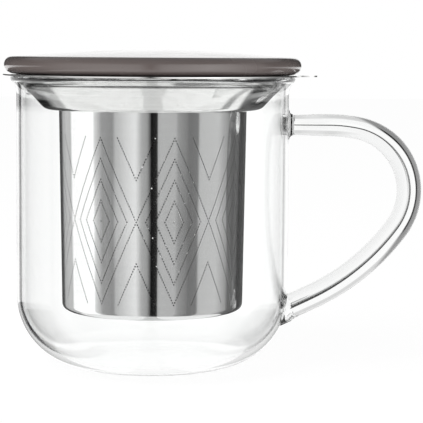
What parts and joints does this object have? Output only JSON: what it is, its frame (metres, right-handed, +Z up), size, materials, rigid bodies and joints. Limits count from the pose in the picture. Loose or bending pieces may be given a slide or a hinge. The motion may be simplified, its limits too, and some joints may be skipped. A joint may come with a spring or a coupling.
{
  "type": "lidded tea mug with infuser",
  "caption": "Clear glass mug with a rod handle, a hanging perforated steel infuser basket and a loose domed porcelain lid.",
  "frame": {"origin": "centre of the foot disc, on the table, on the cup's axis", "axes": "+Z up along the cup's axis, +X from the axis towards the handle"},
  "size_m": [0.141, 0.1004, 0.1072],
  "materials": {
    "clear_glass": "clear fire-polished borosilicate glass",
    "satin_steel": "satin, turned",
    "polished_steel": "mirror polished",
    "lid_glaze": "glossy warm grey glaze"
  },
  "bodies": {
    "mug": {"mug_body": "clear_glass", "mug_handle": "clear_glass"},
    "infuser": {"infuser_collar": "satin_steel", "infuser_wall": "polished_steel", "infuser_base": "polished_steel"},
    "lid": {"lid": "lid_glaze"}
  },
  "joints": [
    {"name": "infuser_lift", "type": "slide", "parent": "mug", "child": "infuser", "axis": [0, 0, 1], "range_m": [0, 0.085]},
    {"name": "lid_lift", "type": "slide", "parent": "infuser", "child": "lid", "axis": [0, 0, 1], "range_m": [0, 0.04]}
  ]
}
